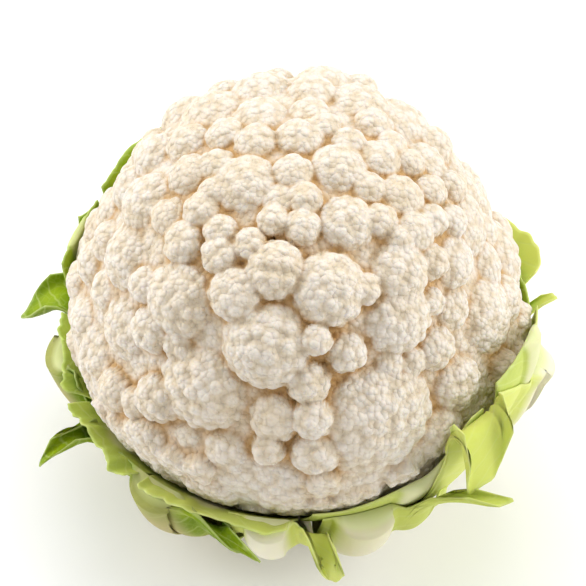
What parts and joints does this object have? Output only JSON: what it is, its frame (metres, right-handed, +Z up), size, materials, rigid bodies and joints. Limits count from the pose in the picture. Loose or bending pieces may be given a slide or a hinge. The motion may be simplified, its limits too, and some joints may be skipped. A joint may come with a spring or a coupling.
{
  "type": "cauliflower",
  "caption": "Head of cauliflower: a domed cream curd of packed florets cupped by two rings of cut-back leaves, standing on its flat cut stalk.",
  "frame": {"origin": "centre of the stalk's flat cut face, which the head stands on", "axes": "+Z up from the cut face along the stalk, -Y towards the side that the picture shows"},
  "size_m": [0.2074, 0.2024, 0.1662],
  "materials": {
    "curd": "matte, finely granular",
    "stalk": "moist cut face, satin skin",
    "inner_leaf": "waxy satin",
    "outer_leaf": "waxy satin"
  },
  "bodies": {
    "root": {"curd": "curd", "stalk": "stalk", "leaf_inner_1": "inner_leaf", "leaf_inner_2": "inner_leaf", "leaf_inner_3": "inner_leaf", "leaf_inner_4": "inner_leaf", "leaf_inner_5": "inner_leaf", "leaf_inner_6": "inner_leaf", "leaf_inner_7": "inner_leaf", "leaf_inner_8": "inner_leaf", "leaf_inner_9": "inner_leaf", "leaf_inner_10": "inner_leaf", "leaf_outer_1": "outer_leaf", "leaf_outer_2": "outer_leaf", "leaf_outer_3": "outer_leaf", "leaf_outer_4": "outer_leaf", "leaf_outer_5": "outer_leaf", "leaf_outer_6": "outer_leaf", "leaf_outer_7": "outer_leaf", "leaf_outer_8": "outer_leaf"}
  },
  "joints": []
}
